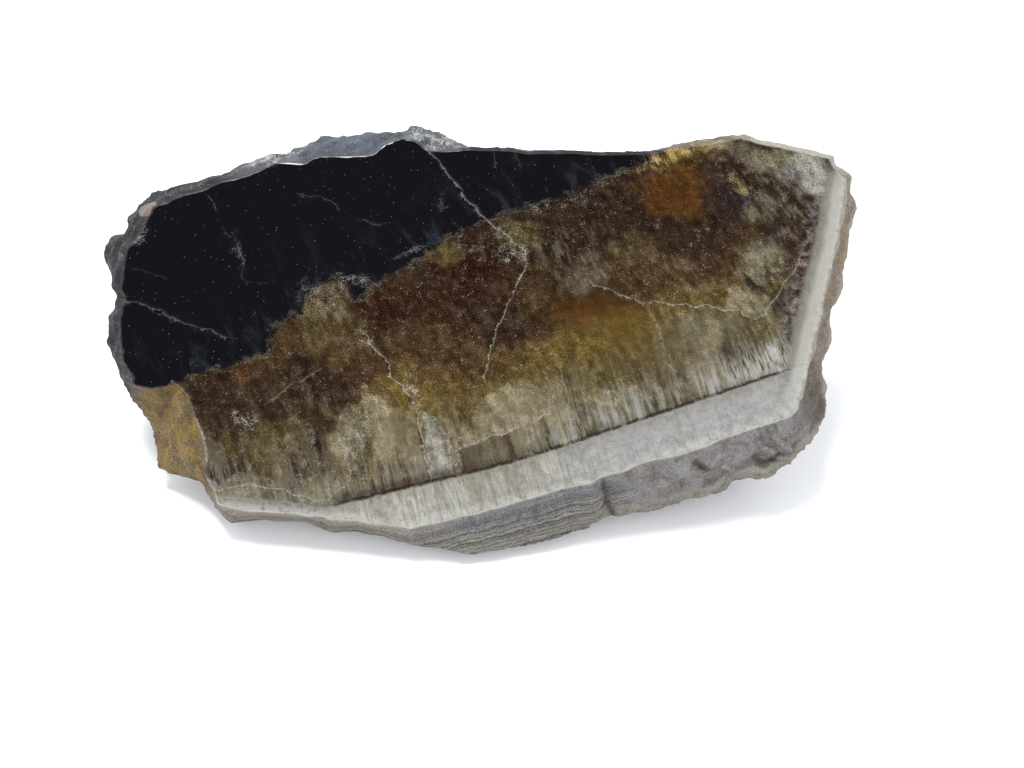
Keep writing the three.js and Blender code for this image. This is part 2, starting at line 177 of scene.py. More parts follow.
# Where the stone is clear and calm, foggy, gilded, frosted inside, or full of dark fluff: each
# place, reach across and up, turn in degrees, strength
CALM = [(14, 26, 7.5, 4.5, -4, 1), (22, 22, 7, 4, 10, 0.8), (23, 43, 6, 3, 6, 0.7), (6, 13, 5, 2.5, 20, 0.6), (-7.5, 9, 2, 3, 20, 0.8)]
FOGGY = [
    (-19, 24, 4, 3, 0, 0.8), (-20, 10, 9, 5, 0, 0.3), (5, 34, 6, 3, 10, 0.5), (13, 33, 7, 4, 10, 0.5),
    (35, 44, 5, 7, 0, 0.9), (34, 31, 5, 6, 0, 0.7), (-2, 24, 10, 6, 0, 0.15), (24, 33, 7, 3, 10, 0.35),
]
GILT = [(21, 47.6, 4.2, 1.5, 14, 1), (26, 49.3, 3, 1, 0, 0.4), (31, 45.5, 2, 1.2, 0, 0.4)]
FROSTY = [
    (-41.8, 29.8, 1.2, 0.8, 20, 0.7), (-5.5, 38.5, 0.8, 0.6, 0, 0.4), (-29.5, 29.5, 0.5, 2.5, 30, 0.35),
    (2, 35.6, 2, 0.9, -30, 0.8), (4, 32.6, 1.6, 1.2, 0, 0.7), (-1.5, 33, 2, 1, 0, 0.4), (-8, 32, 3.5, 0.6, 30, 0.6),
    (-15.5, 27, 2, 0.8, 0, 0.6), (-18.5, 25.2, 3, 2, 20, 0.35), (8, 40.5, 6, 0.6, 20, 0.25), (-6, 14, 1, 2, 30, 0.8),
    (-13, 20, 2, 1, 0, 0.3), (31.5, 45, 1.5, 0.8, -20, 0.7), (-26, 9.6, 1.6, 0.5, -20, 0.8), (-25, 9, 0.8, 0.9, 0, 0.8), (-12.8, 8, 1.4, 3.5, 10, 0.6),
    (-28, 42.6, 2.5, 1.4, 20, 1), (-8.5, 48, 4, 1.6, 0, 1), (16.3, 16, 1.4, 1, 0, 0.5), (-18, 7.5, 1, 3, 25, 0.3),
]
FLUFFY = [
    (33, 38, 7, 10, 0, 1), (26, 37, 7, 4, 0, 0.8), (10, 35, 9, 4, 10, 0.5), (-22, 8, 9, 8, 0, 0.7),
    (-8, 22, 9, 5, 0, 0.4), (-16, 20, 6, 5, 0, 0.5),
]

# Clefts cut into the rim, and shell-like steps: each a line whose left side stands higher. The material paints shade
# into the clefts and beside the steps, and a highlight along each step's edge.
CLEFTS = [[(16.5, 6.2), (17.3, 4.4), (18.3, 3.2), (18, 1.6)], [(27.2, 9.8), (28.8, 9.2)], [(34.4, 11.6), (36, 11.2), (37.4, 12.3)]]
SHELLS = [
    [(20, 4), (26.4, 5), (29.2, 6.7), (31.4, 9.2)],
    [(30.8, 9.9), (32.6, 9.6), (34.9, 10.2), (37.2, 10)],
    [(33.4, 14.3), (34.4, 12.9), (35.6, 12.2), (38.4, 11.8)],
    [(35.3, 14.8), (36.5, 13.6), (39, 12.8)],
]
BLOCK_EDGE = [(-5.6, 14), (-3.4, 12), (-1.1, 9), (0.3, 5.7), (1.8, 1), (2.2, -1)]
SHELL_EDGE = [(-3, 6.6), (-1.2, 7.6), (1.8, 9), (5.2, 10.7), (7.4, 11.8), (9.9, 13.5), (13, 15.5)]

# The stretches of the rim, by lines along the edge of the polished face
STRETCHES = {
    "rind": [(-26, -1), (-5, -1.5), (7, 2.8), (17, 7)],
    "shells": [(19, 7.8), (28, 11.3), (38, 16.5)],
    "crust_edge": [(39.5, 19), (41, 29), (43.5, 42), (44, 47)],
    "bevel": [(42, 50), (36, 51), (32, 51.6)],
    "ridge": [(29.5, 51.8), (25, 50.5), (22.5, 49.5)],
    "sharp": [(20, 48.3), (8, 47), (-3, 46.2)],
    "frosted": [(-7, 45.5), (-16, 44.5), (-29, 40.5)],
    "broken": [(-33, 38), (-41, 33.5), (-43, 27), (-40.5, 13)],
    "honey": [(-36, 11), (-30.5, 6), (-28.5, 1.5)],
}


def linear(code):
    """An sRGB hex colour as linear red, green and blue."""
    shares = [int(code[i:i + 2], 16) / 255 for i in (1, 3, 5)]
    return tuple(s / 12.92 if s <= 0.04045 else ((s + 0.055) / 1.055) ** 2.4 for s in shares)


def colour_setting(name, code, description):
    """A colour that a user can change."""
    return bpy.props.FloatVectorProperty(
        name=name, description=description, subtype="COLOR", size=3, min=0, max=1, default=linear(code))


class CitrineSizes(bpy.types.PropertyGroup):
    """Sizes of the stone's surface."""

    mesh_step: bpy.props.FloatProperty(
        name="Mesh step", description="Distance between the points of the stone's surface",
        default=0.375 * MM, min=0.3 * MM, unit="LENGTH")
    ledge_step: bpy.props.FloatProperty(
        name="Ledge step", description="Width of one ledge of the layered rind",
        default=1.15 * MM, min=0.5 * MM, unit="LENGTH")
    ledge_height: bpy.props.FloatProperty(
        name="Ledge height", description="How far one ledge of the rind stands above the next",
        default=0.2 * MM, min=0, unit="LENGTH")
    crust_lump: bpy.props.FloatProperty(
        name="Crust lump", description="Width of the small lumps of the crust",
        default=2.6 * MM, min=1 * MM, unit="LENGTH")
    crust_height: bpy.props.FloatProperty(
        name="Crust height", description="Height of the small lumps of the crust",
        default=0.8 * MM, min=0, unit="LENGTH")


class CitrineColours(bpy.types.PropertyGroup):
    """Colours of the stone."""

    black: colour_setting("Smoky black", "#0D0C10", "The opaque smoky quartz of the upper left")
    red_smoke: colour_setting("Red smoke", "#22110A", "Dark red-brown smoky quartz")
    umber: colour_setting("Umber", "#231912", "Dark brown smoky quartz")
    brown: colour_setting("Brown", "#342617", "Brown smoky quartz")
    plum: colour_setting("Plum", "#211A1B", "Dark pockets with a violet cast")
    amber: colour_setting("Amber", "#442B12", "Deep orange-brown citrine")
    golden: colour_setting("Golden", "#4C3D1D", "Golden to olive citrine")
    gold: colour_setting("Gold", "#A8905A", "Bright golden flecks at the top")
    olive: colour_setting("Olive", "#453B23", "Olive quartz of the lower left")
    tan: colour_setting("Tan", "#6F6651", "Cloudy quartz with a faint yellow cast")
    haze: colour_setting("Haze", "#5D5847", "Grey cloudy quartz")
    milk: colour_setting("Milk", "#9D9B93", "The white quartz of the outer band")
    lavender: colour_setting("Lavender", "#838281", "The cool grey quartz between band and body")
    rind: colour_setting("Rind", "#6A6968", "The grey layered rind")
    cream: colour_setting("Cream", "#878173", "The pale ridges of the rind")
    crust: colour_setting("Crust", "#6A5E56", "The taupe crust")
    frost: colour_setting("Frost", "#3D434E", "The frosted, slightly blue fracture")
    # The honey chip's amber colour, painted brighter as a glow of the light that passes through the thin chip
    honey: colour_setting("Honey", "#765D24", "The honey-coloured chip")


class CitrineStage(bpy.types.PropertyGroup):
    """The floor and the light."""

    floor: colour_setting("Floor", "#FBFBFC", "The pale floor")
    dome: bpy.props.FloatProperty(
        name="Surrounding light", description="Strength of the soft light from all sides",
        default=2.15, min=0)
    overhead: bpy.props.FloatProperty(
        name="Overhead light", description="Strength of the surrounding light straight above",
        default=0.03, min=0)
    key: bpy.props.FloatProperty(
        name="Main light", description="Power of the soft light at the back left",
        default=3.4, min=0, unit="POWER")


def add(tree, kind, inputs=None, output=0, **settings):
    """Adds a node with its settings, values and links, and gives one of its outputs."""
    made = tree.nodes.new("ShaderNode" + kind)
    for name, value in settings.items():
        setattr(made, name, value)
    for key, value in (inputs or {}).items():
        if isinstance(value, bpy.types.NodeSocket):
            tree.links.new(value, made.inputs[key])
        else:
            made.inputs[key].default_value = value
    return made.outputs[output] if made.outputs else made


def cover(tree, *terms):
    """The terms multiplied: each is a share, or (value, start, end) for a soft rise from 0 to 1."""
    covered = None
    for term in terms:
        if isinstance(term, tuple):
            term = add(tree, "MapRange", dict(enumerate(term)), interpolation_type="SMOOTHSTEP")
        covered = term if covered is None else add(tree, "Math", {0: covered, 1: term}, operation="MULTIPLY")
    return covered


def lay_over(tree, colour, *layers):
    """Lays colours over a colour in turn: each is (colour, and the terms of how much it covers)."""
    for shade, *terms in layers:
        colour = add(tree, "Mix", {0: cover(tree, *terms), 6: colour, 7: shade}, 2, data_type="RGBA")
    return colour


def graded(tree, colour, value, start, end, least, most):
    """Multiplies a colour by a factor that runs from least to most as a value runs from start to end."""
    factor = cover(tree, (value, start, end, least, most))
    return add(tree, "Mix", {0: 1.0, 6: colour, 7: factor}, 2, data_type="RGBA", blend_type="MULTIPLY")


def pushed(tree, distance, *pushes):
    """A distance pushed about by noises, each (noise, reach), so that a line drawn at it turns rough."""
    for value, reach in pushes:
        centred = add(tree, "Math", {0: value, 1: 0.5}, operation="SUBTRACT")
        distance = add(tree, "Math", {0: centred, 1: reach, 2: distance}, operation="MULTIPLY_ADD")
    return distance


def select_only(piece):
    bpy.ops.object.select_all(action="DESELECT")
    piece.select_set(True)
    bpy.context.view_layer.objects.active = piece


def smooth_line(line, steps=8):
    """A smooth line through the given places."""
    ends = [line[0], *line, line[-1]]
    p0, p1, p2, p3 = (np.array(ends[i:len(ends) - 3 + i], float)[:, None] for i in range(4))
    t = np.arange(steps)[None, :, None] / steps
    curve = (2 * p1 + (p2 - p0) * t + (2 * p0 - 5 * p1 + 4 * p2 - p3) * t**2
             + (3 * p1 - p0 - 3 * p2 + p3) * t**3) / 2
    return np.vstack([curve.reshape(-1, 2), line[-1]])


def distance_to(places, line, closed=False):
    """How far each place is to the left of a line, and how far from it."""
    points = np.vstack([line, line[:1]]) if closed else np.asarray(line, float)
    nearest = np.full(len(places), np.inf)
    left = np.zeros(len(places))
    for start, end in zip(points[:-1], points[1:]):
        run = end - start
        off = places - start
        share = np.clip(off @ run / (run @ run), 0, 1)
        away = np.linalg.norm(off - share[:, None] * run, axis=1)
        closer = away < nearest
        nearest[closer] = away[closer]
        left[closer] = np.sign(run[0] * off[closer, 1] - run[1] * off[closer, 0])
    return left * nearest, nearest


def bumps(places, scale, seed=0.0):
    """Smooth noise between about -1 and 1 at each place, scale bumps a millimetre."""
    return np.array([noise.noise(Vector(p) * scale + Vector((seed, 7 * seed, 0))) for p in places])


def ease(values, start, end):
    """0 at start, 1 at end, and a smooth change between them."""
    share = np.clip((values - start) / (end - start), 0, 1)
    return share * share * (3 - 2 * share)


def read_points(mesh):
    """The points of a mesh and their normals, in millimetres."""
    points = np.empty(len(mesh.vertices) * 3, np.float32)
    normals = np.empty_like(points)
    mesh.vertices.foreach_get("co", points)
    mesh.vertices.foreach_get("normal", normals)
    return points.reshape(-1, 3).astype(float) / MM, normals.reshape(-1, 3).astype(float)


def on_face(points):
    """Places across and up the polished face and below its plane, from points of the part."""
    return (points - np.array(FACE_FRONT)) @ np.array([ACROSS, UPHILL, -FACE_NORMAL]).T


def face_outline(node):
    """The edge of the polished face, anticlockwise, as places across and up."""
    mesh = node.data
    points, _ = read_points(mesh)
    key = [tuple(np.round(p, 3)) for p in points]
    spare = {}
    for face in mesh.polygons:
        places = on_face(points[list(face.vertices)])
        if np.abs(places[:, 2]).max() > 0.01:
            continue
        corners = [key[v] for v in face.vertices]
        for a, b in zip(corners, corners[1:] + corners[:1]):
            if spare.pop((b, a), None) is None:
                spare[(a, b)] = True
    following = dict(spare.keys())
    first = here = next(iter(following))
    outline = []
    while True:
        outline.append(here)
        here = following[here]
        if here == first:
            break
    return on_face(np.array(outline))[:, :2]


def stretch_shares(places):
    """How far each place belongs to each stretch of the rim."""
    away = {name: distance_to(places, smooth_line(line, 4))[1] for name, line in STRETCHES.items()}
    least = np.min(list(away.values()), axis=0)
    blend = 1.2
    shares = {name: np.exp(-(a - least) / blend) for name, a in away.items()}
    total = sum(shares.values())
    return {name: share / total for name, share in shares.items()}


def write_values(mesh, name, values):
    mesh.attributes.new(name, "FLOAT", "POINT").data.foreach_set("value", values.astype(np.float32))


def rim_outline(node):
    """The outermost places of the stone as the polished face sees it, anticlockwise."""
    points, _ = read_points(node.data)
    places = on_face(points)[:, :2]
    off = places - (0, 22)
    angle = np.arctan2(off[:, 1], off[:, 0])
    slices = np.floor((angle + math.pi) / (2 * math.pi) * 150).astype(int)
    reach = np.linalg.norm(off, axis=1)
    outermost = [np.flatnonzero(slices == i)[np.argmax(reach[slices == i])] for i in np.unique(slices)]
    return places[outermost]


def beyond_polish(flat, outline, shares):
    """How far each place is beyond the polish, which reaches over the sharp edge at the back."""
    return -distance_to(flat, outline, closed=True)[0] - 0.35 * shares["sharp"]


def ridge_lift(places, line, width):
    """A step along a line: 1 on its left beside it, falling to 0 over a width, 0 on its right."""
    side, near = distance_to(places, smooth_line(line, 4))
    return np.where(side > 0, 1 - ease(near, 0, width), 0)


def sculpt_relief(mesh, outline, rim, sizes):
    """Flattens the polished face and cuts the ledges, shells and broken surfaces round it."""
    points, normals = read_points(mesh)
    places = on_face(points)
    flat_places = places[:, :2]
    to_rim = distance_to(flat_places, rim, closed=True)[0]
    shares = stretch_shares(flat_places)
    beyond = beyond_polish(flat_places, outline, shares)
    off_face = ease(beyond, 0.0, 0.9)
    off_foot = ease(points[:, 2], 0.5, 2.0)
    step = sizes.ledge_step / MM
    height = sizes.ledge_height / MM
    wander = bumps(places, 0.16, 1.0)
    fine = bumps(places, 0.9, 2.0)
    coarse = bumps(places, 0.4, 3.0)
    sharp = 1 - 2 * np.abs(bumps(places, 0.55, 8.0))

    def ledges(distance, width):
        run = distance / width
        part = run - np.floor(run)
        return ease(part, 0.0, 0.3) - part

    lip = ease(to_rim, 2.6, 0.8)
    cleft = np.max([1 - ease(distance_to(flat_places, smooth_line(line, 4))[1] + 0.3 * coarse, 0.1, 0.7) for line in CLEFTS], axis=0)
    shells = np.max([ridge_lift(flat_places + 0.25 * coarse[:, None], line, 1.5) for line in SHELLS], axis=0)
    relief = (
        shares["rind"] * (0.35 * height * ledges(beyond + 0.3 * wander, 0.6 * step) * (1 - lip)
                          + 1.6 * height * ledges(to_rim + 0.4 * wander + 0.25 * coarse, 0.7 * step) * lip
                          + 0.1 * fine)
        + shares["shells"] * (1.2 * height * ledges(beyond + 2.6 * wander + 0.5 * coarse, 1.9 * step)
                              + 0.2 * coarse + 0.16 * sharp + 0.14 * fine + 0.35 * shells)
        + shares["crust_edge"] * (0.35 * coarse + 0.3 * fine)
        + shares["bevel"] * 0.05 * fine
        + shares["ridge"] * 0.2 * fine
        + shares["sharp"] * 0.12 * fine
        + shares["frosted"] * (0.35 * sharp + 0.14 * fine)
        + shares["broken"] * (0.3 * sharp + 0.15 * fine + height * ledges(beyond + wander, 1.3 * step))
        + shares["honey"] * (0.25 * coarse + 0.12 * sharp)
        - 0.45 * cleft
    )
    points = points + normals * (relief * off_face * off_foot)[:, None]
    flat = (beyond < 0.1) & (np.abs(places[:, 2]) < 0.8)
    points[flat] += np.outer(places[flat, 2], np.array(FACE_NORMAL))
    mesh.vertices.foreach_set("co", (points * MM).astype(np.float32).ravel())
    mesh.update()


def patch_share(flat, across, up, wide, high, turn, strength):
    """How strongly a soft-edged oval patch covers each place."""
    angle = math.radians(turn)
    off = flat - (across, up)
    along = (off[:, 0] * math.cos(angle) + off[:, 1] * math.sin(angle)) / wide
    over = (off[:, 1] * math.cos(angle) - off[:, 0] * math.sin(angle)) / high
    return strength * ease(np.hypot(along, over), 1.3, 0.45)


def patches_share(flat, patches):
    """How strongly any of the patches covers each place."""
    return 1 - np.prod([1 - patch_share(flat, *patch) for patch in patches], axis=0)


def feathered(places):
    """Places pushed about by bumps of three sizes, so that what is drawn there has feathery edges."""
    flat = places[:, :2].copy()
    for scale, push, seed in ((0.15, 2.0, 4), (0.42, 1.3, 5), (1.1, 0.6, 6)):
        shift = [noise.noise_vector(Vector(p) * scale + Vector((seed, 0, 0)))[:2] for p in places]
        flat += push * np.array(shift)
    return flat


def cloud_colours(flat, depth, colours):
    """The soft colours inside the stone at each place."""
    tints = {name: np.array(getattr(colours, name)) for name in CitrineColours.__annotations__}
    colour = np.tile(tints["haze"], (len(flat), 1))
    for name, start, end, strength in (
        ("olive", 1.0, 4, 1), ("golden", 6, 10, 0.55), ("brown", 10.5, 14.5, 1), ("umber", 17, 23, 1),
    ):
        share = strength * ease(depth, start, end)[:, None]
        colour = colour * (1 - share) + tints[name] * share
    for name, *patch in CLOUDS:
        share = patch_share(flat, *patch)[:, None]
        colour = colour * (1 - share) + tints[name] * share
    return colour


def within(places, corners):
    """Whether each place lies inside a closed outline."""
    inside = np.zeros(len(places), bool)
    for (x0, y0), (x1, y1) in zip(corners, corners[1:] + corners[:1]):
        spans = (y0 > places[:, 1]) != (y1 > places[:, 1])
        crossing = x0 + (places[:, 1] - y0) * (x1 - x0) / ((y1 - y0) or 1)
        inside ^= spans & (places[:, 0] < crossing)
    return inside


def write_colours(mesh, name, colour):
    tint = np.ones((len(colour), 4), np.float32)
    tint[:, :3] = colour
    mesh.attributes.new(name, "FLOAT_COLOR", "POINT").data.foreach_set("color", tint.ravel())


def write_marks(mesh, outline, rim, colours):
    """Writes what the stone's material reads: places, distances to the lines, and the clouds."""
    points, normals = read_points(mesh)
    places = on_face(points)
    flat = places[:, :2]
    face_mm = mesh.attributes.new("face_mm", "FLOAT_VECTOR", "POINT")
    face_mm.data.foreach_set("vector", places.astype(np.float32).ravel())
    feathery = feathered(places)
    dark_line = distance_to(flat, smooth_line(DARK_LINE))[0]
    shares = stretch_shares(flat)
    values = {
        "beyond": np.maximum(beyond_polish(flat, outline, shares), places[:, 2] - 0.4 - 1.5 * shares["sharp"]),
        "past_edge": -distance_to(flat, outline, closed=True)[0],
        "to_rim": distance_to(flat, rim, closed=True)[0] + 9 * ease(places[:, 2], 6, 8),
        "smoky": distance_to(flat, smooth_line(SMOKY_EDGE))[0],
        "dark_line": dark_line,
        "inside_rind": distance_to(flat, smooth_line(RIND_EDGE))[0],
        "step_edge": distance_to(flat, smooth_line(STEP_EDGE))[1],
        "block_edge": distance_to(flat, smooth_line(BLOCK_EDGE))[0],
        "shell_edge": distance_to(flat, smooth_line(SHELL_EDGE))[0],
        "wall": ease(normals @ np.array(FACE_NORMAL), 0.3, -0.15),
        "calm": patches_share(feathery, CALM),
        "foggy": patches_share(feathery, FOGGY),
        "fluffy": patches_share(feathery, FLUFFY),
        "gilt": patches_share(feathery, GILT),
        "frosty": patches_share(feathery, FROSTY),
        "ridge_line": np.min([distance_to(flat, smooth_line(line, 4))[1] for line in SHELLS], axis=0),
        "cleft": np.min([distance_to(flat, smooth_line(line, 4))[1] for line in CLEFTS], axis=0),
    }
    crack = np.full(len(flat), 9.0)
    crack_near = np.full(len(flat), 9.0)
    crack_light = np.zeros(len(flat))
    crack_wide = np.ones(len(flat))
    for light, wide, line in CRACKS:
        side, near = distance_to(flat, smooth_line(line))
        closer = near < crack_near
        crack[closer] = side[closer]
        crack_near[closer] = near[closer]
        crack_light[closer] = light
        crack_wide[closer] = wide
    values.update(crack=crack, crack_near=crack_near, crack_light=crack_light, crack_wide=crack_wide)
    pane = np.full(len(flat), -9.0)
    pane_share = np.zeros(len(flat))
    pane_colour = np.zeros((len(flat), 3))
    for name, strength, corners in PANES:
        near = distance_to(flat, np.array(corners, float), closed=True)[1]
        inside = np.where(within(flat, corners), near, -near)
        deeper = inside > pane
        pane[deeper] = inside[deeper]
        pane_share[deeper] = strength
        pane_colour[deeper] = getattr(colours, name)
    values.update(pane=pane, pane_share=pane_share)
    for name, share in shares.items():
        values["at_" + name] = share
    values["crusty"] = np.maximum(
        shares["rind"] + shares["shells"] + shares["crust_edge"], ease(places[:, 2], 3, 7))
    values["chip"] = patch_share(flat, -41.8, 33.8, 1.4, 1.4, 0, 1)
    for name, numbers in values.items():
        write_values(mesh, name, numbers)
    write_colours(mesh, "clouds", cloud_colours(feathery, dark_line + feathery[:, 1] - flat[:, 1], colours))
    write_colours(mesh, "pane_colour", pane_colour)


def crust_group(piece):
    """A vertex group that holds the crust: the walls and the underside, without the flat foot."""
    points, normals = read_points(piece.data)
    places = on_face(points)
    shares = stretch_shares(places[:, :2])
    facing = ease(normals @ np.array(FACE_NORMAL), 0.1, -0.35)
    crusty = shares["rind"] + shares["shells"] + shares["crust_edge"]
    weight = facing * ease(points[:, 2], 0.6, 3.0) * np.maximum(crusty, ease(places[:, 2], 3, 8))
    group = piece.vertex_groups.new(name="crust")
    for level in range(1, 21):
        members = np.flatnonzero(np.round(weight * 20) == level).tolist()
        group.add(members, level / 20, "REPLACE")
    return group


def apply_modifier(piece, kind, **settings):
    """Adds a modifier with its settings and applies it."""
    select_only(piece)
    bpy.ops.object.modifier_add(type=kind)
    modifier = piece.modifiers[-1]
    for name, value in settings.items():
        setattr(modifier, name, value)
    bpy.ops.object.modifier_apply(modifier=modifier.name)


class CITRINE_OT_stone(bpy.types.Operator):
    """Models the stone's surface on a copy of its solid and gives it its material"""

    bl_idname = "citrine.stone"
    bl_label = "Build Stone"

    def execute(self, context):
        sizes = context.scene.citrine_sizes
        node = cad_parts["citrine_stone"]
        outline = face_outline(node)
        rim = rim_outline(node)
        stone = node.copy()
        stone.data = node.data.copy()
        stone.name = "polished_citrine"
        stone.parent = None
        for key in list(stone.keys()):
            del stone[key]
        context.scene.collection.objects.link(stone)
        select_only(stone)
        bpy.ops.object.mode_set(mode="EDIT")
        bpy.ops.mesh.select_all(action="SELECT")
        bpy.ops.mesh.remove_doubles(threshold=0.01 * MM)
        bpy.ops.object.mode_set(mode="OBJECT")
        apply_modifier(stone, "REMESH", mode="VOXEL", voxel_size=sizes.mesh_step)

        group = crust_group(stone)
        lumps = bpy.data.textures.new("crust lumps", "VORONOI")
        lumps.noise_scale = sizes.crust_lump
        lumps.noise_intensity = 1
        apply_modifier(
            stone, "DISPLACE", texture=lumps, texture_coords="LOCAL", vertex_group=group.name,
            mid_level=0.4, strength=-sizes.crust_height)
        grit = bpy.data.textures.new("crust grit", "CLOUDS")
        grit.noise_scale = 0.9 * MM
        apply_modifier(
            stone, "DISPLACE", texture=grit, texture_coords="LOCAL", vertex_group=group.name,
            strength=0.35 * MM)
        sculpt_relief(stone.data, outline, rim, sizes)
        write_marks(stone.data, outline, rim, context.scene.citrine_colours)

        stone.data.materials.clear()
        stone.data.materials.append(citrine_material(stone.data, context.scene.citrine_colours))
        select_only(stone)
        bpy.ops.object.shade_smooth_by_angle(angle=math.radians(38))
        stone.vertex_groups.clear()
        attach(stone, "root")
        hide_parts("citrine_stone")
        return {"FINISHED"}


def citrine_material(mesh, colours):
    """Banded smoky citrine: a quartz, polished to a gloss on the face and rough where it broke.

    The polish lets the eye look past the surface, so the bands, fibres, veils and flecks below it
    give the look of depth.
    """
    material = bpy.data.materials.new("banded smoky citrine")
    material.use_nodes = True
    tree = material.node_tree
    tree.nodes.clear()
    tint = {name: (*getattr(colours, name), 1) for name in CitrineColours.__annotations__}
    mark = {
        values.name: add(tree, "Attribute", output=2, attribute_name=values.name)
        for values in mesh.attributes if values.data_type == "FLOAT"}
    place = add(tree, "Attribute", output=1, attribute_name="face_mm")
    across = add(tree, "SeparateXYZ", {0: place})
    depth, beyond, frosty = mark["dark_line"], mark["beyond"], mark["frosty"]
    restless = add(tree, "Math", {0: mark["calm"], 1: -0.75, 2: 1.0}, operation="MULTIPLY_ADD")

    # Places turned so that one axis runs along the fibres, which lean 23 degrees, and squeezed on
    # that axis, so that what is drawn there comes out as long streaks. Feathers lean 35 degrees.
    along_fibres = add(
        tree, "Mapping", {0: place, 2: (0, 0, math.radians(23)), 3: (1, 6, 1)}, vector_type="TEXTURE")
    along_feathers = add(
        tree, "Mapping", {0: place, 2: (0, 0, math.radians(35)), 3: (1, 2.4, 1)}, vector_type="TEXTURE")

    # Scales are bumps a millimetre: grains of 0.2 mm, fibres of 0.3 mm, streaks and feathers of 1 mm
    grain = add(tree, "TexNoise", {0: place, "Scale": 5.5, "Detail": 2, "Roughness": 0.8})
    fluff = add(tree, "TexNoise", {0: place, "Scale": 1.0, "Detail": 8, "Roughness": 0.72})
    soft_edges = add(tree, "TexNoise", {0: place, "Scale": 0.5, "Detail": 5, "Roughness": 0.6})
    cloud = add(tree, "TexNoise", {0: place, "Scale": 0.33, "Detail": 6, "Roughness": 0.62})
    feathers = add(tree, "TexNoise", {0: along_feathers, "Scale": 0.8, "Detail": 8, "Roughness": 0.72})
    wisps = add(tree, "TexNoise", {0: along_feathers, "Scale": 0.5, "Detail": 8, "Roughness": 0.66, "Distortion": 0.6})
    hair = add(tree, "TexNoise", {0: along_fibres, "Scale": 3.4, "Detail": 3, "Roughness": 0.6})
    streak = add(tree, "TexNoise", {0: along_fibres, "Scale": 0.9, "Detail": 6, "Roughness": 0.62})
    columns = add(tree, "TexNoise", {0: along_fibres, "Scale": 0.35, "Detail": 2, "Roughness": 0.5})
    granules = pushed(tree, grain, (fluff, 1.0))
    along_rays = add(
        tree, "Mapping", {0: place, 2: (0, 0, math.radians(21)), 3: (1, 15, 1)}, vector_type="TEXTURE")
    rays = add(tree, "TexNoise", {0: along_rays, "Scale": 1.7, "Detail": 3, "Roughness": 0.55})

    # Body: soft clouds and clear-edged panes, then thin grey fog, dark fluff and fine grains
    pane = pushed(tree, mark["pane"], (soft_edges, 1.6), (grain, 0.5))
    body = lay_over(
        tree, add(tree, "Attribute", attribute_name="clouds"),
        (add(tree, "Attribute", attribute_name="pane_colour"), (pane, -0.15, 0.3), mark["pane_share"]))
    uneven = graded(tree, body, fluff, 0.3, 0.7, 0.6, 1.45)
    uneven = graded(tree, uneven, feathers, 0.35, 0.65, 0.6, 1.45)
    restless_up = graded(tree, uneven, grain, 0.32, 0.68, 0.45, 1.75)
    uneven = graded(tree, uneven, grain, 0.32, 0.68, 0.72, 1.3)
    body = graded(tree, body, soft_edges, 0.3, 0.7, 0.85, 1.15)
    body = lay_over(
        tree, body,
        (uneven, restless),
        (restless_up, restless, (depth, 6.0, 12.0)),
        (tint["haze"], (feathers, 0.48, 0.62), mark["foggy"], 0.6),
        (tint["lavender"], (feathers, 0.54, 0.66), (grain, 0.42, 0.62), mark["foggy"], 0.45),
        (tint["umber"], (wisps, 0.5, 0.6), mark["fluffy"], 0.75),
        (tint["milk"], (granules, 0.6, 0.72), (depth, 10.0, 4.0), 0.5))

    # Pale columns that rise from the white band, darker gaps between them, and a comb of fibres
    column = pushed(tree, columns, (streak, 0.7))
    body = lay_over(
        tree, body,
        (tint["umber"], (column, 0.48, 0.38), (depth, 9.0, 3.0), 0.4),
        (tint["tan"], (column, 0.5, 0.58), (depth, 10.0, 4.0), restless, 0.3),
        (tint["umber"], (rays, 0.46, 0.38), (depth, 8.0, 1.0), (across, -22.0, -8.0, 0.2, 0.45)),
        (tint["tan"], (rays, 0.53, 0.59), (depth, 11.0, 5.0), (cloud, 0.38, 0.55), restless, (across, -22.0, -8.0, 0.1, 0.35)),
        (tint["lavender"], (hair, 0.5, 0.66), (depth, 7.0, 2.0), 0.25),
        (tint["lavender"], (rays, 0.46, 0.56), (column, 0.35, 0.6), (depth, 5.5, 0.5), (across, 6.0, 14.0, 0.15, 0.85)),
        (tint["milk"], (hair, 0.38, 0.58), (depth, 5.5, 1.0), (across, 26.0, 33.0), 0.6))

    # The brown block under the shell-like edge, darkest at its left
    block_edge = pushed(tree, mark["block_edge"], (grain, 0.15))
    shell_edge = pushed(tree, mark["shell_edge"], (grain, 0.15))
    under_shell = cover(tree, (shell_edge, 0.1, -0.15), (shell_edge, -6.5, -3.0), (block_edge, -0.1, 0.1))
    brown_block = lay_over(tree, tint["brown"], (tint["haze"], (streak, 0.4, 0.6), 0.7))
    brown_block = graded(tree, brown_block, grain, 0.3, 0.7, 0.7, 1.4)
    body = lay_over(
        tree, body,
        (brown_block, under_shell, (block_edge, 9.5, 5.5), 0.75),
        (tint["umber"], under_shell, (block_edge, 3.5, 0.3), 0.5))

    # Smoky black zone, with a fringe of pale grains that comes and goes
    smoky = pushed(tree, mark["smoky"], (soft_edges, 3.5), (fluff, 1.2), (grain, 0.5))
    black = lay_over(
        tree, tint["black"],
        (tint["frost"], (wisps, 0.5, 0.7), (mark["smoky"], 10.0, 0.0), 0.2),
        (tint["lavender"], (feathers, 0.58, 0.7), (grain, 0.5, 0.64), (mark["smoky"], 5.0, 0.5), 0.3))
    body = lay_over(
        tree, body,
        (black, (smoky, -0.15, 0.2)),
        (tint["haze"], (smoky, -0.8, -0.1), (smoky, 0.5, 0.0), (cloud, 0.44, 0.56), (grain, 0.42, 0.6), 0.7))

